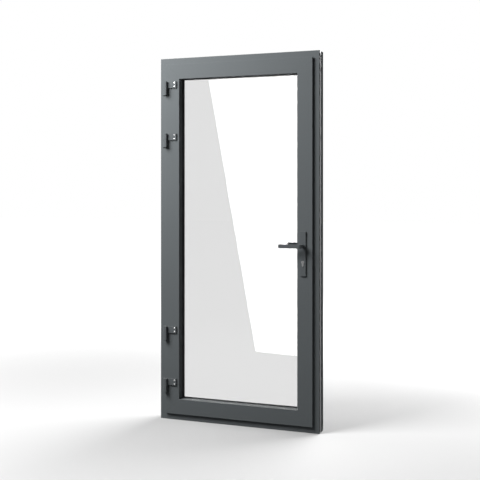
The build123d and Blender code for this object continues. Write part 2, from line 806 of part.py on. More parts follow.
def build_lock(nodes):
    """Mortise lock: case, faceplate, bolts, follower, cylinder and their screws."""
    low, high = faceplate_ends()
    half = plate_width / 2
    x0 = leaf_edge_x - plate_thickness
    plate = block(x0, leaf_edge_x, lock_y - half, lock_y + half, low, high)
    plate -= bolt_openings(x0 - cut, leaf_edge_x + cut, bolt_clearance)
    screw_z = cylinder_z - cylinder_screw_drop
    screws = []
    for z in faceplate_screw_heights():
        plate -= plate_countersink(leaf_edge_x, z, "leaf")
        screws.append(plate_screw(leaf_edge_x, z, "leaf"))
    plate -= plate_countersink(leaf_edge_x, screw_z, "leaf")
    reach = backset + stem_width / 2
    screws.append(plate_screw_place(leaf_edge_x, screw_z, "leaf") * countersunk(reach, plate_head_depth))
    nodes["lock_faceplate"] = plate
    nodes["lock_screws"] = group(screws)
    nodes["lock_case"] = lock_case()
    nodes["lock_cylinder"] = lock_cylinder()

    bolt_half = bolt_thickness / 2
    y0 = lock_y - bolt_half
    y1 = lock_y + bolt_half
    latch = block(
        leaf_edge_x - latch_tail,
        leaf_edge_x + latch_throw,
        y0,
        y1,
        lever_z - latch_height / 2,
        lever_z + latch_height / 2,
    )
    slope = latch.edges().filter_by(Axis.Z).sort_by(Axis.X)[-2:].sort_by(Axis.Y)[-1]
    nodes["latch_bolt"] = chamfer(slope, latch_bevel)
    middle = cylinder_z + deadbolt_rise
    nodes["deadbolt"] = block(
        leaf_edge_x - deadbolt_length,
        leaf_edge_x,
        y0,
        y1,
        middle - deadbolt_height / 2,
        middle + deadbolt_height / 2,
    )

    hub = round_y(handle_x, lever_z, hub_radius, lock_y - hub_thickness / 2, lock_y + hub_thickness / 2)
    reach = case_thickness / 2
    hub += round_y(handle_x, lever_z, trunnion_radius, lock_y - reach, lock_y + reach)
    nodes["lock_follower"] = hub - spindle(spindle_clearance)

    y_end = -leaf_front_y + backplate_thickness + cylinder_proud
    nodes["key_plug_front"] = key_plug(-y_end, lock_y - cam_slot / 2)
    nodes["key_plug_rear"] = key_plug(y_end, lock_y + cam_slot / 2)
    cam_half = cam_thickness / 2
    cam = round_y(handle_x, cylinder_z, plug_radius, lock_y - cam_slot / 2, lock_y + cam_half)
    cam += block(
        handle_x - cam_width / 2,
        handle_x + cam_width / 2,
        lock_y - cam_half,
        lock_y + cam_half,
        cylinder_z - cam_radius,
        cylinder_z,
    )
    nodes["cylinder_cam"] = cam


def build_handles(nodes):
    """Backplates, their through screws, both levers and the spindle."""
    front = backplate()
    rear = front.mirror(Plane.XZ)
    screws = []
    rear_face = leaf_rear_y + backplate_thickness
    thread_end = leaf_front_y - backplate_bite
    for z in backplate_screw_heights():
        front -= round_y(handle_x, z, screw_radius + screw_fit, thread_end, leaf_front_y + cut)
        turned = Pos(handle_x, rear_face, z) * Rot(0, 0, 180)
        rear -= turned * countersink(backplate_head_depth, backplate_thickness)
        screws.append(turned * countersunk(rear_face - thread_end, backplate_head_depth))
    nodes["backplate_front"] = front
    nodes["backplate_rear"] = rear
    nodes["backplate_screws"] = group(screws)
    nodes["lever_front"] = lever()
    nodes["lever_rear"] = lever().mirror(Plane.XZ)
    nodes["spindle"] = spindle()


nodes = {}
build_frame(nodes)
build_strike(nodes)
build_hinges(nodes)
build_leaf(nodes)
build_glazing(nodes)
build_lock(nodes)
build_handles(nodes)

for name, shape in nodes.items():
    export_step(shape, "parts/" + name + ".step")
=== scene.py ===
import math

import bpy
from bpy.props import FloatProperty, FloatVectorProperty, IntProperty, PointerProperty
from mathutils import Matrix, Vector


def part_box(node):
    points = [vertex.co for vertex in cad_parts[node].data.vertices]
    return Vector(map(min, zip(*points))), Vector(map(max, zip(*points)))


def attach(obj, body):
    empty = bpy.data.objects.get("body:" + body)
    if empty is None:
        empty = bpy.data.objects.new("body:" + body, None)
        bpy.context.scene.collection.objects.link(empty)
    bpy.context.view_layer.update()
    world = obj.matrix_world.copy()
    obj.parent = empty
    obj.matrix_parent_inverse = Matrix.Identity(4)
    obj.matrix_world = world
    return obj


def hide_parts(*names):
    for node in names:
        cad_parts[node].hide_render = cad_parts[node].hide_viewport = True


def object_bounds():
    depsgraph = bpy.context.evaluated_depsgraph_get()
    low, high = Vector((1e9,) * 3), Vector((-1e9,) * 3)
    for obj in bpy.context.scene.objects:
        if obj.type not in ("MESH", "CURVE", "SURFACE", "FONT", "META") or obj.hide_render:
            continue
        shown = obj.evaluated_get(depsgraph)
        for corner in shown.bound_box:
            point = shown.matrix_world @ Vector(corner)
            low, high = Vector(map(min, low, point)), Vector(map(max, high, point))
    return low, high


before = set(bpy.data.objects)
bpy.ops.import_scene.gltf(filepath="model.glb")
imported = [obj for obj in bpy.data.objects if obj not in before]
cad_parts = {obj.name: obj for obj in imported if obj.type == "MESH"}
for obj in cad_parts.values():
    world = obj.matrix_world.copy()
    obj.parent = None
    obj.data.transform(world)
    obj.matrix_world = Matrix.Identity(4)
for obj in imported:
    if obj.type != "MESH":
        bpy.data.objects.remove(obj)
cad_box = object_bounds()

bl_info = {
    "name": "Glazed swing door",
    "version": (1, 0, 0),
    "blender": (4, 5, 0),
    "location": "3D View > Sidebar > Swing door",
    "description": "Finishes, seals and studio of a glazed aluminium swing door",
    "category": "Object",
}

SIDES = ("left", "right", "top", "bottom")
HINGES = range(1, 5)
MM = 0.001
IMAGE_SIZE = 480
SENSOR_WIDTH = 36.0
EVEN = (1.0, 1.0, 1.0)
ALONG_Z = (1.0, 1.0, 0.05)
CHANNEL_DEPTH = 8.0 * MM
CHANNEL_END = 40.6 * MM
CHANNEL_SLACK = 0.2 * MM
POLISH = 1.9
PANEL_Y = -2.1
PANEL_CORNERS = ((-0.62, 0.012), (-0.25, 0.0), (-0.25, 2.9), (-1.155, 2.9))


def colour(name, description, default):
    """Colour property of a finish."""
    return FloatVectorProperty(
        name=name,
        description=description,
        subtype="COLOR",
        size=3,
        min=0.0,
        max=1.0,
        default=default,
    )


def length(name, description, default):
    """Length property in metres."""
    return FloatProperty(
        name=name,
        description=description,
        default=default,
        min=0.0,
        subtype="DISTANCE",
        unit="LENGTH",
    )


def point(name, description, default):
    """Point in metres."""
    return FloatVectorProperty(
        name=name,
        description=description,
        subtype="TRANSLATION",
        unit="LENGTH",
        size=3,
        default=default,
    )


def watts(name, description, default):
    """Power of a lamp in watts."""
    return FloatProperty(
        name=name, description=description, default=default, min=0.0, unit="POWER"
    )


def share(name, description, default, top=1.0):
    """Plain factor."""
    return FloatProperty(name=name, description=description, default=default, min=0.0, max=top)


class SwingDoorFinish(bpy.types.PropertyGroup):
    """Colours and surface of each finish."""

    profile_coat: colour(
        "Profile coat", "Anthracite grey powder coat of frame and leaf", (0.102, 0.112, 0.117)
    )
    hinge_coat: colour("Hinge coat", "Powder coat of the hinge bodies", (0.094, 0.103, 0.108))
    handle_coat: colour("Handle coat", "Coat of levers and backplates", (0.094, 0.103, 0.108))
    coat_grain: length("Coat grain", "Grain size of the powder coat", 0.0007)
    coat_roughness: share("Coat roughness", "Roughness of the powder coat", 0.5)
    coat_gloss: share("Coat gloss", "Specular level of the powder coat", 0.06)
    # Mill finish of the corner cleats. In the frame's channel this near-white colour is partly
    # painted light, a bright strip where the front flange casts shade.
    bare_aluminium: colour(
        "Bare aluminium and painted light", "Uncoated profile inside the channel", (0.82, 0.82, 0.83)
    )
    zinc: colour("Zinc", "Bright zinc of the screws", (0.62, 0.62, 0.62))
    steel: colour("Lock steel", "Satin steel of the lock", (0.56, 0.56, 0.57))
    nickel: colour("Nickel", "Satin nickel of the cylinder", (0.33, 0.333, 0.335))
    rubber: colour("Rubber", "Gaskets and seals", (0.012, 0.012, 0.012))
    plastic: colour("Plastic", "Insulating strips and setting blocks", (0.02, 0.02, 0.021))
    spacer: colour("Spacer", "Warm edge between the panes", (0.011, 0.011, 0.012))
    glass: colour("Glass", "Tint of each pane", (0.935, 0.935, 0.935))
    dust: colour("Dust", "Settled dust", (0.42, 0.41, 0.39))
    dust_amount: share("Dust amount", "How much dust lies on level faces", 0.12)
    edge_wear: share("Edge wear", "How far the coat is polished along edges", 0.35)


class SwingDoorSeals(bpy.types.PropertyGroup):
    """Section sizes of the rubber parts that stand in for the plain CAD rings."""

    seal_width: length("Seal width", "Width of the foot of a closing seal", 0.006)
    seal_foot: length("Seal foot", "Thickness of the foot of a closing seal", 0.0008)
    bulb_inset: length("Bulb inset", "Foot left free on both sides of the bulb", 0.0007)
    gasket_width: length("Gasket width", "Width of a glazing gasket", 0.010)
    gasket_lip: length("Gasket lip", "How far the rounded lip of a gasket stands in", 0.0009)
    arc_steps: IntProperty(
        name="Arc steps", description="Facets of a rounded lip", default=12, min=4, max=48
    )


class SwingDoorStudio(bpy.types.PropertyGroup):
    """Camera, lamps and floor."""

    camera_place: point("Camera place", "Where the camera stands", (1.718, -4.707, 1.400))
    camera_turn: FloatProperty(
        name="Camera turn",
        description="Turn of the level camera to the left of the door's normal",
        subtype="ANGLE",
        unit="ROTATION",
        default=math.radians(20.0),
    )
    lens: FloatProperty(
        name="Lens", description="Focal length in millimetres", default=63.0, min=1.0
    )
    horizon_row: FloatProperty(
        name="Horizon row",
        description="Picture row of the horizon, from the top",
        default=189.7,
        min=0.0,
    )
    key_place: point(
        "Key place", "Middle of the key lamp, high at the front left", (-1.83, -1.82, 3.28)
    )
    key_size: length("Key size", "Side of the square key lamp", 1.9)
    key_power: watts("Key power", "Power of the key lamp", 242.0)
    rear_place: point(
        "Rear place", "Middle of the lamp that lights the rear of the door", (-1.2, 3.0, 1.1)
    )
    rear_size: length("Rear size", "Side of the square rear lamp", 1.2)
    rear_power: watts("Rear power", "Power of the rear lamp", 70.0)
    side_place: point("Side place", "Middle of the weak lamp at the lock side", (3.5, 0.2, 1.6))
    side_size: length("Side size", "Side of the square side lamp", 1.0)
    side_power: watts("Side power", "Power of the side lamp", 15.0)
    channel_place: point(
        "Channel place",
        "Middle of the lamp that lights the rear shells of the frame",
        (1.5, -3.0, 3.2),
    )
    channel_size: length("Channel size", "Side of the square channel lamp", 0.6)
    channel_power: watts("Channel power", "Power of the channel lamp", 30.0)
    floor_key_place: point(
        "Floor key place", "Middle of the front lamp that lights the floor", (-1.7, -1.8, 2.9)
    )
    floor_key_size: length("Floor key size", "Side of the front lamp for the floor", 1.8)
    floor_key_power: watts("Floor key power", "Power of the front lamp for the floor", 152.0)
    floor_back_place: point(
        "Floor back place", "Middle of the back lamp that lights the floor", (1.6, 3.0, 3.0)
    )
    floor_back_size: length("Floor back size", "Side of the back lamp for the floor", 4.0)
    floor_back_power: watts("Floor back power", "Power of the back lamp for the floor", 300.0)
    ambient: share("Ambient", "Strength of the white surroundings for matt surfaces", 0.07, 4.0)
    floor_size: length("Floor size", "Side of the square floor", 60.0)
    floor_drop: length("Floor drop", "Gap that keeps the floor clear of the sill", 0.0004)
    floor_tone: share("Floor tone", "Reflectance of the floor that the camera sees", 0.65)
    # The floor's camera-only glow, which is painted light, rises between these two distances.
    lift_start: length("Lift start", "Distance at which the floor begins to turn white", 1.2)
    lift_end: length("Lift end", "Distance at which the floor is all white", 5.0)
    floor_bounce: share(
        "Floor bounce", "Reflectance of the floor for the light that it sends back", 0.15
    )
    panel_glow: FloatProperty(
        name="Panel glow", description="Strength of the panel seen in the glass", default=10.0
    )


def node_tree_of(material):
    """Empty node tree of a material."""
    material.use_nodes = True
    material.node_tree.nodes.clear()
    return material.node_tree


def add(tree, kind, inputs=None, **settings):
    """New node with its settings, and its inputs set to values or linked to sockets."""
    node = tree.nodes.new(kind)
    for name, value in settings.items():
        setattr(node, name, value)
    for name, value in (inputs or {}).items():
        if isinstance(value, bpy.types.NodeSocket):
            tree.links.new(value, node.inputs[name])
        else:
            node.inputs[name].default_value = value
    return node


def calculate(tree, operation, first, second=0.0, third=0.0, clamp=False):
    """Result socket of a Math node."""
    inputs = {0: first, 1: second, 2: third}
    return add(tree, "ShaderNodeMath", inputs, operation=operation, use_clamp=clamp).outputs[0]


def blend_colours(tree, factor, under, over):
    """Result socket of one colour laid over another by a mask."""
    node = add(tree, "ShaderNodeMix", data_type="RGBA")
    for index, value in ((0, factor), (6, under), (7, over)):
        if isinstance(value, bpy.types.NodeSocket):
            tree.links.new(value, node.inputs[index])
        else:
            node.inputs[index].default_value = value
    return node.outputs[2]


def opaque(rgb):
    """Colour with full alpha."""
    return (*rgb, 1.0)


def new_group(name, inputs, outputs):
    """Shader node group with named sockets. Inputs are (name, kind, default)."""
    tree = bpy.data.node_groups.new(name, "ShaderNodeTree")
    for label, kind, default in inputs:
        socket = tree.interface.new_socket(label, in_out="INPUT", socket_type=kind)
        socket.default_value = default
    for label, kind in outputs:
        tree.interface.new_socket(label, in_out="OUTPUT", socket_type=kind)
    entry = tree.nodes.new("NodeGroupInput").outputs
    leave = tree.nodes.new("NodeGroupOutput").inputs
    return tree, entry, leave


def noise(tree, vector, scale, detail=2.0, roughness=0.5):
    """Grey value socket of a noise texture."""
    inputs = {"Vector": vector, "Scale": scale, "Detail": detail, "Roughness": roughness}
    return add(tree, "ShaderNodeTexNoise", inputs).outputs["Fac"]


def spread_about_one(tree, value, spread):
    """Turns a noise value into a factor about 1."""
    centred = calculate(tree, "SUBTRACT", value, 0.5)
    return calculate(tree, "MULTIPLY_ADD", centred, spread, 1.0)


def grain_group():
    """Grain stretched along one direction, with slow changes of tone."""
    inputs = [
        ("Colour", "NodeSocketColor", (0.5, 0.5, 0.5, 1.0)),
        ("Stretch", "NodeSocketVector", (1.0, 1.0, 1.0)),
        ("Grain Size", "NodeSocketFloat", 0.001),
        ("Tone Spread", "NodeSocketFloat", 0.1),
        ("Roughness", "NodeSocketFloat", 0.5),
        ("Roughness Spread", "NodeSocketFloat", 0.2),
    ]
    outputs = [
        ("Colour", "NodeSocketColor"),
        ("Roughness", "NodeSocketFloat"),
        ("Height", "NodeSocketFloat"),
    ]
    tree, entry, leave = new_group("Surface grain", inputs, outputs)
    place = add(tree, "ShaderNodeTexCoord").outputs["Object"]
    stretched = add(
        tree, "ShaderNodeVectorMath", {0: place, 1: entry["Stretch"]}, operation="MULTIPLY"
    ).outputs[0]
    scale = calculate(tree, "DIVIDE", 1.0, entry["Grain Size"])
    fine = noise(tree, stretched, scale, 3.0, 0.6)
    cloud = noise(tree, place, 2.3, 2.0)
    patch = noise(tree, stretched, calculate(tree, "MULTIPLY", scale, 0.06), 2.0)
    tone = calculate(tree, "MULTIPLY_ADD", cloud, 0.5, calculate(tree, "MULTIPLY", fine, 0.5))
    factor = spread_about_one(tree, tone, entry["Tone Spread"])
    toned = add(
        tree, "ShaderNodeVectorMath", {0: entry["Colour"], "Scale": factor}, operation="SCALE"
    )
    tree.links.new(toned.outputs[0], leave["Colour"])
    uneven = spread_about_one(tree, patch, entry["Roughness Spread"])
    rough = calculate(tree, "MULTIPLY", entry["Roughness"], uneven)
    tree.links.new(rough, leave["Roughness"])
    tree.links.new(fine, leave["Height"])
    return tree


def edge_group():
    """Mask along sharp edges, broken up by noise."""
    inputs = [
        ("Radius", "NodeSocketFloat", 0.001),
        ("Strength", "NodeSocketFloat", 1.0),
        ("Breakup Size", "NodeSocketFloat", 0.02),
    ]
    tree, entry, leave = new_group("Edge wear", inputs, [("Mask", "NodeSocketFloat")])
    bevel = add(tree, "ShaderNodeBevel", {"Radius": entry["Radius"]}, samples=4).outputs[0]
    normal = add(tree, "ShaderNodeNewGeometry").outputs["Normal"]
    agree = add(
        tree, "ShaderNodeVectorMath", {0: bevel, 1: normal}, operation="DOT_PRODUCT"
    ).outputs["Value"]
    edge = calculate(tree, "SUBTRACT", 1.0, agree, clamp=True)
    place = add(tree, "ShaderNodeTexCoord").outputs["Object"]
    broken = noise(tree, place, calculate(tree, "DIVIDE", 1.0, entry["Breakup Size"]), 4.0, 0.7)
    worn = calculate(tree, "MULTIPLY", edge, calculate(tree, "MULTIPLY", broken, 5.0))
    tree.links.new(calculate(tree, "MULTIPLY", worn, entry["Strength"], clamp=True), leave["Mask"])
    return tree


def dust_group():
    """Mask of dust on faces that look up."""
    inputs = [("Amount", "NodeSocketFloat", 0.1), ("Patch Size", "NodeSocketFloat", 0.03)]
    tree, entry, leave = new_group("Settled dust", inputs, [("Mask", "NodeSocketFloat")])
    normal = add(tree, "ShaderNodeNewGeometry").outputs["Normal"]
    upward = add(tree, "ShaderNodeSeparateXYZ", {0: normal}).outputs["Z"]
    level = calculate(tree, "POWER", calculate(tree, "MAXIMUM", upward, 0.0), 3.0)
    place = add(tree, "ShaderNodeTexCoord").outputs["Object"]
    patches = noise(tree, place, calculate(tree, "DIVIDE", 1.0, entry["Patch Size"]), 4.0, 0.65)
    mask = calculate(
        tree, "MULTIPLY", calculate(tree, "MULTIPLY", level, patches), entry["Amount"]
    )
    tree.links.new(calculate(tree, "MULTIPLY", mask, 2.0, clamp=True), leave["Mask"])
    return tree


def shared_group(name, build):
    """Node group by name, built at its first use."""
    return bpy.data.node_groups.get(name) or build()


def place_group(tree, name, build, inputs):
    """Node that uses a shared group with its own values."""
    node = tree.nodes.new("ShaderNodeGroup")
    node.node_tree = shared_group(name, build)
    for label, value in inputs.items():
        if isinstance(value, bpy.types.NodeSocket):
            tree.links.new(value, node.inputs[label])
        else:
            node.inputs[label].default_value = value
    return node.outputs


def surface(tree, base, roughness, height, bump, plain):
    """Principled surface with a bump. Plain holds values set on the shader's own sockets."""
    strength, distance = bump
    normal = add(
        tree, "ShaderNodeBump", {"Height": height, "Strength": strength, "Distance": distance}
    ).outputs[0]
    inputs = {"Base Color": base, "Roughness": roughness, "Normal": normal, **plain}
    shader = add(tree, "ShaderNodeBsdfPrincipled", inputs)
    output = add(tree, "ShaderNodeOutputMaterial", {"Surface": shader.outputs[0]})
    return shader, output


def coated_material(name, finish, tint, grain=None, roughness=None, channel=None):
    """Powder coat with polished edges and a little dust. A channel mask lays a near-white bare
    metal colour there, which is partly painted light: a bright strip where the front flange casts
    shade.
    """
    tree = node_tree_of(bpy.data.materials.new(name))
    grained = place_group(
        tree,
        "Surface grain",
        grain_group,
        {
            "Colour": opaque(tint),
            "Grain Size": grain or finish.coat_grain,
            "Tone Spread": 0.16,
            "Roughness": roughness or finish.coat_roughness,
            "Roughness Spread": 0.25,
        },
    )
    edge = place_group(
        tree, "Edge wear", edge_group, {"Radius": 0.0012, "Strength": finish.edge_wear}
    )
    dust = place_group(tree, "Settled dust", dust_group, {"Amount": finish.dust_amount})
    polished = tuple(min(1.0, value * POLISH) for value in tint)
    base = blend_colours(tree, edge["Mask"], grained["Colour"], opaque(polished))
    base = blend_colours(tree, dust["Mask"], base, opaque(finish.dust))
    plain = {"Metallic": 0.0, "IOR": 1.5, "Specular IOR Level": finish.coat_gloss}
    # Painted light: the channel mask turns a strip in the front flange's shade near-white. It is
    # partly bare metal too.
    if channel:
        bare = channel(tree)
        base = blend_colours(tree, bare, base, opaque(finish.bare_aluminium))
    surface(tree, base, grained["Roughness"], grained["Height"], (0.12, 0.0002), plain)
    return bpy.data.materials[name]


def metal_material(name, finish, tint, stretch, grain, roughness, metallic=1.0):
    """Drawn, brushed or plated metal with grain along one direction."""
    tree = node_tree_of(bpy.data.materials.new(name))
    grained = place_group(
        tree,
        "Surface grain",
        grain_group,
        {
            "Colour": opaque(tint),
            "Stretch": stretch,
            "Grain Size": grain,
            "Tone Spread": 0.14,
            "Roughness": roughness,
            "Roughness Spread": 0.3,
        },
    )
    dust = place_group(tree, "Settled dust", dust_group, {"Amount": finish.dust_amount})
    base = blend_colours(tree, dust["Mask"], grained["Colour"], opaque(finish.dust))
    surface(
        tree, base, grained["Roughness"], grained["Height"], (0.08, 0.0001), {"Metallic": metallic}
    )
    return bpy.data.materials[name]


def moulded_material(name, finish, tint, stretch, grain, roughness, dust_factor=1.0):
    """Rubber or plastic with a fine moulded or extruded grain."""
    tree = node_tree_of(bpy.data.materials.new(name))
    grained = place_group(
        tree,
        "Surface grain",
        grain_group,
        {
            "Colour": opaque(tint),
            "Stretch": stretch,
            "Grain Size": grain,
            "Tone Spread": 0.35,
            "Roughness": roughness,
            "Roughness Spread": 0.15,
        },
    )
    dust = place_group(
        tree,
        "Settled dust",
        dust_group,
        {"Amount": finish.dust_amount * dust_factor, "Patch Size": 0.012},
    )
    base = blend_colours(tree, dust["Mask"], grained["Colour"], opaque(finish.dust))
    surface(tree, base, grained["Roughness"], grained["Height"], (0.2, 0.0002), {"Metallic": 0.0})
    return bpy.data.materials[name]


def spacer_material(finish):
    """Black warm edge bar with two rows of fine vent holes along its inner face."""
    tree = node_tree_of(bpy.data.materials.new("Warm edge spacer"))
    lowest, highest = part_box("pane_spacer")
    middle = (lowest.y + highest.y) / 2
    pitch = 0.004
    row_offset = 0.004
    hole_radius = 0.0006
    place = add(tree, "ShaderNodeTexCoord").outputs["Object"]
    parts = add(tree, "ShaderNodeSeparateXYZ", {0: place}).outputs
    running = calculate(tree, "ADD", parts["X"], parts["Z"])
    along = calculate(tree, "PINGPONG", running, pitch / 2)
    across = calculate(tree, "ABSOLUTE", calculate(tree, "SUBTRACT", parts["Y"], middle))
    across = calculate(tree, "SUBTRACT", across, row_offset)
    squared = calculate(tree, "MULTIPLY", across, across)
    distance = calculate(tree, "SQRT", calculate(tree, "MULTIPLY_ADD", along, along, squared))
    hole = calculate(tree, "LESS_THAN", distance, hole_radius)
    grained = place_group(
        tree,
        "Surface grain",
        grain_group,
        {
            "Colour": opaque(finish.spacer),
            "Grain Size": 0.002,
            "Tone Spread": 0.3,
            "Roughness": 0.55,
        },
    )
    base = blend_colours(tree, hole, grained["Colour"], (0.001, 0.001, 0.001, 1.0))
    height = calculate(tree, "SUBTRACT", grained["Height"], hole)
    surface(tree, base, grained["Roughness"], height, (0.3, 0.0003), {"Metallic": 0.0})
    return bpy.data.materials["Warm edge spacer"]


def glass_material(finish, name, waviness):
    """Clear float glass with a faint roller waviness and slow changes of tint."""
    tree = node_tree_of(bpy.data.materials.new(name))
    place = add(tree, "ShaderNodeTexCoord").outputs["Object"]
    wave = noise(tree, place, 1.7, 1.0)
    cloud = spread_about_one(tree, noise(tree, place, 1.1, 2.0), 0.02)
    tint = add(
        tree, "ShaderNodeVectorMath", {0: tuple(finish.glass), "Scale": cloud}, operation="SCALE"
    )
    plain = {"Metallic": 0.0, "IOR": 1.5, "Transmission Weight": 1.0}
    surface(tree, tint.outputs[0], 0.0, wave, (waviness, 0.0002), plain)
    return bpy.data.materials[name]


def channel_mask(tree):
    """1 in the installation channel round the outside of the frame, 0 elsewhere. The bright colour
    laid there is partly painted light.
    """
    lowest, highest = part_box("frame_rear_right")
    inset = CHANNEL_DEPTH + CHANNEL_SLACK
    channel_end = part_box("frame_front_right")[0].y + CHANNEL_END
    place = add(tree, "ShaderNodeTexCoord").outputs["Object"]
    parts = add(tree, "ShaderNodeSeparateXYZ", {0: place}).outputs
    across = calculate(
        tree, "GREATER_THAN", calculate(tree, "ABSOLUTE", parts["X"]), highest.x - inset
    )
    middle_z = (lowest.z + highest.z) / 2
    reach_z = (highest.z - lowest.z) / 2 - inset
    height = calculate(tree, "ABSOLUTE", calculate(tree, "SUBTRACT", parts["Z"], middle_z))
    upright = calculate(tree, "GREATER_THAN", height, reach_z)
    outside = calculate(tree, "MAXIMUM", across, upright)
    forward = calculate(tree, "LESS_THAN", parts["Y"], channel_end)
    return calculate(tree, "MULTIPLY", outside, forward)


def dress(material, *names):
    """Gives CAD nodes their material."""
    for name in names:
        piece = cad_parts[name]
        if not piece.material_slots:
            piece.data.materials.append(material)
        for slot in piece.material_slots:
            slot.material = material


def side_names(prefix):
    """Node names of the four members of a rectangle."""
    return [prefix + "_" + side for side in SIDES]


def ring_mesh(name, lowest, highest, section):
    """Mitred ring round a rectangle. The section has (inwards, y) points, going round it."""
    middle_x = (lowest.x + highest.x) / 2
    middle_z = (lowest.z + highest.z) / 2
    half_x = (highest.x - lowest.x) / 2
    half_z = (highest.z - lowest.z) / 2
    corners = ((-1, -1), (1, -1), (1, 1), (-1, 1))
    points = []
    for sign_x, sign_z in corners:
        for inwards, y in section:
            x = middle_x + sign_x * (half_x - inwards)
            z = middle_z + sign_z * (half_z - inwards)
            points.append((x, y, z))
    count = len(section)
    faces = []
    for corner in range(len(corners)):
        here = corner * count
        there = (corner + 1) % len(corners) * count
        for index in range(count):
            after = (index + 1) % count
            faces.append((here + index, there + index, there + after, here + after))
    mesh = bpy.data.meshes.new(name)
    mesh.from_pydata(points, [], faces)
    mesh.validate()
    mesh.update()
    return mesh


def add_piece(name, mesh, body, slot, material, *replaced):
    """Visible piece that rides on a CAD body."""
    mesh.shade_smooth()
    mesh.set_sharp_from_angle(angle=math.radians(35.0))
    mesh.materials.append(material)
    piece = bpy.data.objects.new(name, mesh)
    bpy.context.scene.collection.objects.link(piece)
    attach(piece, body)
    if replaced:
        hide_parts(*replaced)
    return piece


def half_round(centre_u, centre_v, radius_u, radius_v, steps):
    """Half ellipse of points from one side of its foot to the other."""
    points = []
    for step in range(steps + 1):
        angle = math.pi * step / steps
        u = centre_u + radius_u * math.cos(angle)
        points.append((u, centre_v + radius_v * math.sin(angle)))
    return points


def bulb_section(seals, base, tip):
    """Foot of a closing seal with a round bulb that reaches to the tip."""
    direction = 1 if tip > base else -1
    foot = base + direction * seals.seal_foot
    half = seals.seal_width / 2
    points = [(0.0, foot), (0.0, base), (seals.seal_width, base), (seals.seal_width, foot)]
    return points + half_round(half, foot, half - seals.bulb_inset, tip - foot, seals.arc_steps)


def lip_section(seals, near, far):
    """Glazing gasket whose inner side is a rounded lip."""
    middle = (near + far) / 2
    root = seals.gasket_width - seals.gasket_lip
    lip = []
    for step in range(seals.arc_steps + 1):
        angle = math.pi * (step / seals.arc_steps - 0.5)
        inwards = root + seals.gasket_lip * math.cos(angle)
        lip.append((inwards, middle + (far - near) / 2 * math.sin(angle)))
    return [(0.0, far), (0.0, near)] + lip


class SWING_DOOR_OT_profiles(bpy.types.Operator):
    """Coat the profiles of frame and leaf, and finish their strips and cleats"""

    bl_idname = "swing_door.profiles"
    bl_label = "Finish the profiles"

    def execute(self, context):
        finish = context.scene.swing_door_finish
        coat = coated_material("Anthracite powder coat", finish, finish.profile_coat)
        # The rear shells take the channel colour, which is partly painted light on a strip in the
        # flange's shade.
        rear = coated_material(
            "Anthracite powder coat with bare channel",
            finish,
            finish.profile_coat,
            channel=channel_mask,
        )
        dress(
            coat, *side_names("frame_front"), *side_names("leaf_front"), *side_names("leaf_rear")
        )
        dress(coat, *side_names("glazing_bead"))
        dress(rear, *side_names("frame_rear"))
        strips = moulded_material(
            "Insulating strip",
            finish,
            finish.plastic,
            stretch=ALONG_Z,
            grain=0.0015,
            roughness=0.6,
        )
        dress(strips, "frame_insulating_strips", "leaf_insulating_strips")
        cleats = metal_material(
            "Mill finish aluminium",
            finish,
            finish.bare_aluminium,
            stretch=ALONG_Z,
            grain=0.0015,
            roughness=0.38,
        )
        dress(cleats, "frame_corner_cleats", "leaf_corner_cleats")
        return {"FINISHED"}


class SWING_DOOR_OT_glazing(bpy.types.Operator):
    """Finish panes, spacer and setting blocks, and lay the glazing gaskets"""

    bl_idname = "swing_door.glazing"
    bl_label = "Glaze the leaf"

    def execute(self, context):
        finish = context.scene.swing_door_finish
        seals = context.scene.swing_door_seals
        dress(glass_material(finish, "Float glass", 0.02), "pane_front", "pane_rear")
        dress(spacer_material(finish), "pane_spacer")
        blocks = moulded_material(
            "Setting block", finish, finish.plastic, stretch=EVEN, grain=0.001, roughness=0.5
        )
        dress(blocks, "glass_setting_blocks")
        rubber = moulded_material(
            "Gasket rubber",
            finish,
            finish.rubber,
            stretch=EVEN,
            grain=0.0008,
            roughness=0.75,
            dust_factor=0.4,
        )
        for place in ("front", "rear"):
            node = "glazing_gasket_" + place
            lowest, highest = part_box(node)
            section = lip_section(seals, lowest.y, highest.y)
            mesh = ring_mesh("gasket_with_lip_" + place, lowest, highest, section)
            add_piece("gasket_with_lip_" + place, mesh, "leaf", "black_rubber", rubber, node)
        return {"FINISHED"}


class SWING_DOOR_OT_seals(bpy.types.Operator):
    """Lay the bulb seals between leaf and frame"""

    bl_idname = "swing_door.seals"
    bl_label = "Lay the seals"

    def execute(self, context):
        finish = context.scene.swing_door_finish
        seals = context.scene.swing_door_seals
        rubber = moulded_material(
            "Seal rubber",
            finish,
            finish.rubber,
            stretch=EVEN,
            grain=0.0008,
            roughness=0.68,
            dust_factor=0.4,
        )
        lowest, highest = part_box("frame_stop_seal")
        mesh = ring_mesh(
            "stop_bulb_seal", lowest, highest, bulb_section(seals, highest.y, lowest.y)
        )
        add_piece("stop_bulb_seal", mesh, "frame", "black_rubber", rubber, "frame_stop_seal")
        lowest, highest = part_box("leaf_lip_seal")
        mesh = ring_mesh(
            "lip_bulb_seal", lowest, highest, bulb_section(seals, lowest.y, highest.y)
        )
        add_piece("lip_bulb_seal", mesh, "leaf", "black_rubber", rubber, "leaf_lip_seal")
        return {"FINISHED"}


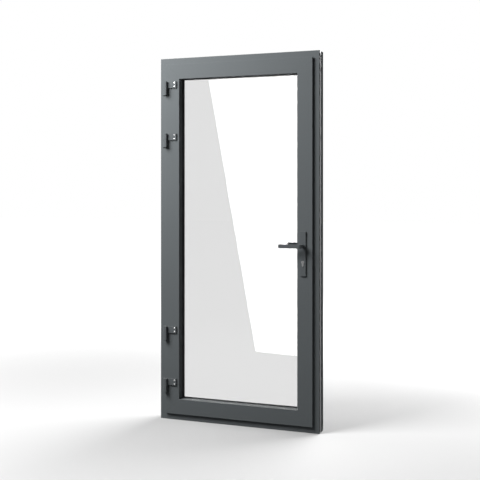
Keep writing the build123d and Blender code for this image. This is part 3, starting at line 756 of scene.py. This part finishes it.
class SWING_DOOR_OT_hinges(bpy.types.Operator):
    """Coat the hinges and finish their pins and screws"""

    bl_idname = "swing_door.hinges"
    bl_label = "Finish the hinges"

    def execute(self, context):
        finish = context.scene.swing_door_finish
        coat = coated_material(
            "Hinge powder coat", finish, finish.hinge_coat, grain=0.0005, roughness=0.38
        )
        for number in HINGES:
            dress(coat, f"hinge_frame_part_{number}", f"hinge_leaf_part_{number}")
        zinc = metal_material(
            "Bright zinc", finish, finish.zinc, stretch=EVEN, grain=0.0006, roughness=0.24
        )
        dress(zinc, "hinge_leaf_screws")
        black = metal_material(
            "Blackened screw steel",
            finish,
            finish.spacer,
            stretch=EVEN,
            grain=0.0006,
            roughness=0.45,
            metallic=0.3,
        )
        dress(black, "frame_screws")
        pin = metal_material(
            "Hinge pin steel",
            finish,
            finish.steel,
            stretch=(0.05, 0.05, 1.0),
            grain=0.0006,
            roughness=0.2,
        )
        dress(pin, "hinge_pins")
        return {"FINISHED"}


class SWING_DOOR_OT_handles(bpy.types.Operator):
    """Coat levers and backplates"""

    bl_idname = "swing_door.handles"
    bl_label = "Finish the handles"

    def execute(self, context):
        finish = context.scene.swing_door_finish
        coat = coated_material(
            "Handle coat", finish, finish.handle_coat, grain=0.0004, roughness=0.36
        )
        dress(coat, "lever_front", "lever_rear", "backplate_front", "backplate_rear")
        screws = metal_material(
            "Handle screw zinc", finish, finish.zinc, stretch=EVEN, grain=0.0006, roughness=0.3
        )
        dress(screws, "backplate_screws")
        return {"FINISHED"}


class SWING_DOOR_OT_lock(bpy.types.Operator):
    """Finish the lock, its cylinder and the strike plate"""

    bl_idname = "swing_door.lock"
    bl_label = "Finish the lock"

    def execute(self, context):
        finish = context.scene.swing_door_finish
        steel = metal_material(
            "Satin lock steel",
            finish,
            finish.steel,
            stretch=(1.0, 1.0, 0.03),
            grain=0.0008,
            roughness=0.34,
        )
        dress(steel, "lock_case", "lock_faceplate", "strike_plate", "lock_follower", "spindle")
        bolts = metal_material(
            "Bolt steel",
            finish,
            finish.steel,
            stretch=(0.05, 1.0, 1.0),
            grain=0.0006,
            roughness=0.26,
        )
        dress(bolts, "latch_bolt", "deadbolt", "lock_screws")
        nickel = metal_material(
            "Satin nickel",
            finish,
            finish.nickel,
            stretch=(1.0, 0.2, 1.0),
            grain=0.0005,
            roughness=0.3,
        )
        dress(nickel, "lock_cylinder", "key_plug_front", "key_plug_rear", "cylinder_cam")
        return {"FINISHED"}


def seen_white(tree, camera):
    """1 for rays that see the background in a gloss, through glass or from the camera."""
    path = add(tree, "ShaderNodeLightPath").outputs
    through = path["Is Transmission Ray"]
    unmirrored = calculate(tree, "LESS_THAN", path["Glossy Depth"], 0.5)
    straight = calculate(tree, "MULTIPLY", through, unmirrored)
    gloss = calculate(tree, "SUBTRACT", path["Is Glossy Ray"], through, clamp=True)
    seen = calculate(tree, "MAXIMUM", gloss, straight)
    if camera:
        seen = calculate(tree, "MAXIMUM", seen, path["Is Camera Ray"])
    return seen


def build_world(studio):
    """White surroundings, at a lower strength for matt surfaces."""
    world = bpy.data.worlds.new("Studio surroundings")
    bpy.context.scene.world = world
    world.use_nodes = True
    tree = world.node_tree
    tree.nodes.clear()
    ambient = studio.ambient
    seen = seen_white(tree, True)
    strength = calculate(tree, "MULTIPLY_ADD", seen, 1.0 - ambient, ambient)
    shade = add(
        tree, "ShaderNodeBackground", {"Color": (1.0, 1.0, 1.0, 1.0), "Strength": strength}
    )
    add(tree, "ShaderNodeOutputWorld", {"Surface": shade.outputs[0]})


def build_floor(studio):
    """Pale floor that takes the shadow and is plain white seen in a gloss or through the glass."""
    half = studio.floor_size / 2
    mesh = bpy.data.meshes.new("studio_floor")
    points = [(-half, -half, 0.0), (half, -half, 0.0), (half, half, 0.0), (-half, half, 0.0)]
    mesh.from_pydata(points, [], [(0, 1, 2, 3)])
    floor = bpy.data.objects.new("studio_floor", mesh)
    floor.location.z = -studio.floor_drop
    bpy.context.scene.collection.objects.link(floor)
    tree = node_tree_of(bpy.data.materials.new("Studio floor"))
    mesh.materials.append(bpy.data.materials["Studio floor"])
    place = add(tree, "ShaderNodeTexCoord").outputs["Object"]
    away = add(tree, "ShaderNodeVectorMath", {0: place}, operation="LENGTH").outputs["Value"]
    limits = {
        "From Min": studio.lift_start, "From Max": studio.lift_end, "To Min": 0.0, "To Max": 1.0
    }
    ramp = {"interpolation_type": "SMOOTHSTEP"}
    # Painted light: a glow seen only by the camera, none near the door and full white far away. It
    # lightens the floor and fades the door's shadow with distance.
    far = add(tree, "ShaderNodeMapRange", {"Value": away, **limits}, **ramp).outputs[0]
    path = add(tree, "ShaderNodeLightPath").outputs
    bounce = opaque((studio.floor_bounce,) * 3)
    tone = blend_colours(tree, path["Is Camera Ray"], bounce, opaque((studio.floor_tone,) * 3))
    matt = add(tree, "ShaderNodeBsdfDiffuse", {"Color": tone}).outputs[0]
    lift = calculate(tree, "MULTIPLY", far, path["Is Camera Ray"])
    glow = add(
        tree, "ShaderNodeEmission", {"Color": (1.0, 1.0, 1.0, 1.0), "Strength": lift}
    ).outputs[0]
    lit = add(tree, "ShaderNodeAddShader", {0: matt, 1: glow}).outputs[0]
    white = add(
        tree, "ShaderNodeEmission", {"Color": (1.0, 1.0, 1.0, 1.0), "Strength": 1.0}
    ).outputs[0]
    mixed = add(
        tree, "ShaderNodeMixShader", {0: seen_white(tree, False), 1: lit, 2: white}
    ).outputs[0]
    add(tree, "ShaderNodeOutputMaterial", {"Surface": mixed})
    return floor


def hide_from(piece, *kinds):
    """Takes a stage piece out of some kinds of rays."""
    for kind in kinds:
        setattr(piece, "visible_" + kind, False)


def build_panel(studio):
    """Lit panel at the front left, seen only as the pale field in the glass."""
    mesh = bpy.data.meshes.new("reflected_panel")
    mesh.from_pydata([(x, PANEL_Y, z) for x, z in PANEL_CORNERS], [], [(0, 1, 2, 3)])
    panel = bpy.data.objects.new("reflected_panel", mesh)
    bpy.context.scene.collection.objects.link(panel)
    hide_from(panel, "camera", "diffuse", "shadow", "transmission", "volume_scatter")
    tree = node_tree_of(bpy.data.materials.new("Lit panel"))
    mesh.materials.append(bpy.data.materials["Lit panel"])
    mirrored = add(tree, "ShaderNodeLightPath").outputs["Is Singular Ray"]
    strength = calculate(tree, "MULTIPLY", mirrored, studio.panel_glow)
    glow = add(tree, "ShaderNodeEmission", {"Strength": strength}).outputs[0]
    add(tree, "ShaderNodeOutputMaterial", {"Surface": glow})


def build_black_card(name, points, faces, mirrored):
    """Black card for the gloss alone: seen mirrored in the glass, or only by the soft gloss."""
    mesh = bpy.data.meshes.new(name)
    mesh.from_pydata(points, [], faces)
    card = bpy.data.objects.new(name, mesh)
    bpy.context.scene.collection.objects.link(card)
    hide_from(card, "camera", "diffuse", "shadow", "transmission", "volume_scatter")
    tree = node_tree_of(bpy.data.materials.new(name))
    mesh.materials.append(bpy.data.materials[name])
    sharp = add(tree, "ShaderNodeLightPath").outputs["Is Singular Ray"]
    black = add(tree, "ShaderNodeEmission", {"Strength": 0.0}).outputs[0]
    clear = add(tree, "ShaderNodeBsdfTransparent").outputs[0]
    sides = (clear, black) if mirrored else (black, clear)
    mixed = add(tree, "ShaderNodeMixShader", {0: sharp, 1: sides[0], 2: sides[1]}).outputs[0]
    add(tree, "ShaderNodeOutputMaterial", {"Surface": mixed})


def build_side_card():
    """Black card close to the lock side."""
    gap = 0.02
    x = cad_box[1].x + gap
    near = cad_box[0].y
    reach = 9.0
    points = [(x, near, -gap), (x, reach, -gap), (x, reach, reach), (x, near, reach)]
    build_black_card("side_card", points, [(0, 1, 2, 3)], False)


def build_front_card():
    """Black card that keeps the glass clear round the panel."""
    left, right, front, near, low, high = -2.2, -0.15, -2.2, -0.2, 0.001, 3.2
    spread = 0.7
    points = [
        (left, front, high),
        (right, front, high),
        (right, front, low),
        (left, front, low),
        (right + spread, near, low),
        (left, near, low),
    ]
    build_black_card("front_card", points, [(0, 1, 2, 3), (3, 2, 4, 5)], True)


def aim(piece, target):
    """Turns a lamp towards a point."""
    direction = Vector(target) - piece.location
    piece.rotation_euler = direction.to_track_quat("-Z", "Y").to_euler()


def build_lamp(name, place, size, power, target, pieces, state):
    """Square soft lamp aimed at a point. It lights only the given pieces, or all but these."""
    lamp = bpy.data.lights.new(name, "AREA")
    lamp.shape = "SQUARE"
    lamp.size = size
    lamp.energy = power
    lamp.use_nodes = True
    tree = lamp.node_tree
    tree.nodes.clear()
    mirrored = add(tree, "ShaderNodeLightPath").outputs["Is Singular Ray"]
    glow = add(
        tree, "ShaderNodeEmission", {"Strength": calculate(tree, "SUBTRACT", 1.0, mirrored)}
    )
    add(tree, "ShaderNodeOutputLight", {"Surface": glow.outputs[0]})
    piece = bpy.data.objects.new(name, lamp)
    piece.location = place
    bpy.context.scene.collection.objects.link(piece)
    aim(piece, target)
    hide_from(piece, "transmission")
    receivers = bpy.data.collections.new(name + "_receivers")
    for item in pieces:
        receivers.objects.link(item)
    for item in receivers.collection_objects:
        item.light_linking.link_state = state
    piece.light_linking.receiver_collection = receivers


def build_camera(studio):
    """Level camera with the horizon at its row of the picture."""
    lens = bpy.data.cameras.new("camera")
    lens.lens = studio.lens
    lens.sensor_width = SENSOR_WIDTH
    lens.shift_y = (studio.horizon_row - IMAGE_SIZE / 2) / IMAGE_SIZE
    lens.clip_end = 200.0
    camera = bpy.data.objects.new("camera", lens)
    camera.location = studio.camera_place
    camera.rotation_euler = (math.pi / 2, 0.0, studio.camera_turn)
    bpy.context.scene.collection.objects.link(camera)
    bpy.context.scene.camera = camera


class SWING_DOOR_OT_studio(bpy.types.Operator):
    """Set up floor, surroundings, lamps and camera"""

    bl_idname = "swing_door.studio"
    bl_label = "Set up the studio"

    def execute(self, context):
        studio = context.scene.swing_door_studio
        build_world(studio)
        floor = build_floor(studio)
        build_panel(studio)
        build_side_card()
        build_front_card()
        middle = (cad_box[0] + cad_box[1]) / 2
        rear_shells = [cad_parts[name] for name in side_names("frame_rear")]
        lamps = (
            ("key", [floor], "EXCLUDE"),
            ("rear", [floor], "EXCLUDE"),
            ("side", [floor], "EXCLUDE"),
            ("channel", rear_shells, "INCLUDE"),
            ("floor_key", [floor], "INCLUDE"),
            ("floor_back", [floor], "INCLUDE"),
        )
        for name, pieces, state in lamps:
            place = getattr(studio, name + "_place")
            size = getattr(studio, name + "_size")
            power = getattr(studio, name + "_power")
            build_lamp(name + "_lamp", place, size, power, middle, pieces, state)
        build_camera(studio)
        context.scene.view_settings.view_transform = "Standard"
        return {"FINISHED"}


class SWING_DOOR_PT_sidebar(bpy.types.Panel):
    """Lists the steps that finish the door"""

    bl_idname = "SWING_DOOR_PT_sidebar"
    bl_label = "Swing door"
    bl_space_type = "VIEW_3D"
    bl_region_type = "UI"
    bl_category = "Swing door"

    def draw(self, context):
        for step in STEPS:
            self.layout.operator(step.bl_idname)
        for group in GROUPS:
            settings = getattr(context.scene, group)
            for name in settings.bl_rna.properties.keys():
                if name not in ("rna_type", "name"):
                    self.layout.prop(settings, name)


STEPS = (
    SWING_DOOR_OT_profiles,
    SWING_DOOR_OT_glazing,
    SWING_DOOR_OT_seals,
    SWING_DOOR_OT_hinges,
    SWING_DOOR_OT_handles,
    SWING_DOOR_OT_lock,
    SWING_DOOR_OT_studio,
)
GROUPS = {
    "swing_door_finish": SwingDoorFinish,
    "swing_door_seals": SwingDoorSeals,
    "swing_door_studio": SwingDoorStudio,
}


def register():
    """Adds the classes and the settings of a scene."""
    for group in (*GROUPS.values(), *STEPS, SWING_DOOR_PT_sidebar):
        bpy.utils.register_class(group)
    for name, group in GROUPS.items():
        setattr(bpy.types.Scene, name, PointerProperty(type=group))


def unregister():
    """Takes the classes and the settings away again."""
    for name in GROUPS:
        delattr(bpy.types.Scene, name)
    for group in reversed((*GROUPS.values(), *STEPS, SWING_DOOR_PT_sidebar)):
        bpy.utils.unregister_class(group)


def main():
    """Runs the steps in order."""
    register()
    for step in STEPS:
        category, name = step.bl_idname.split(".")
        getattr(getattr(bpy.ops, category), name)()


if __name__ == "__main__":
    main()
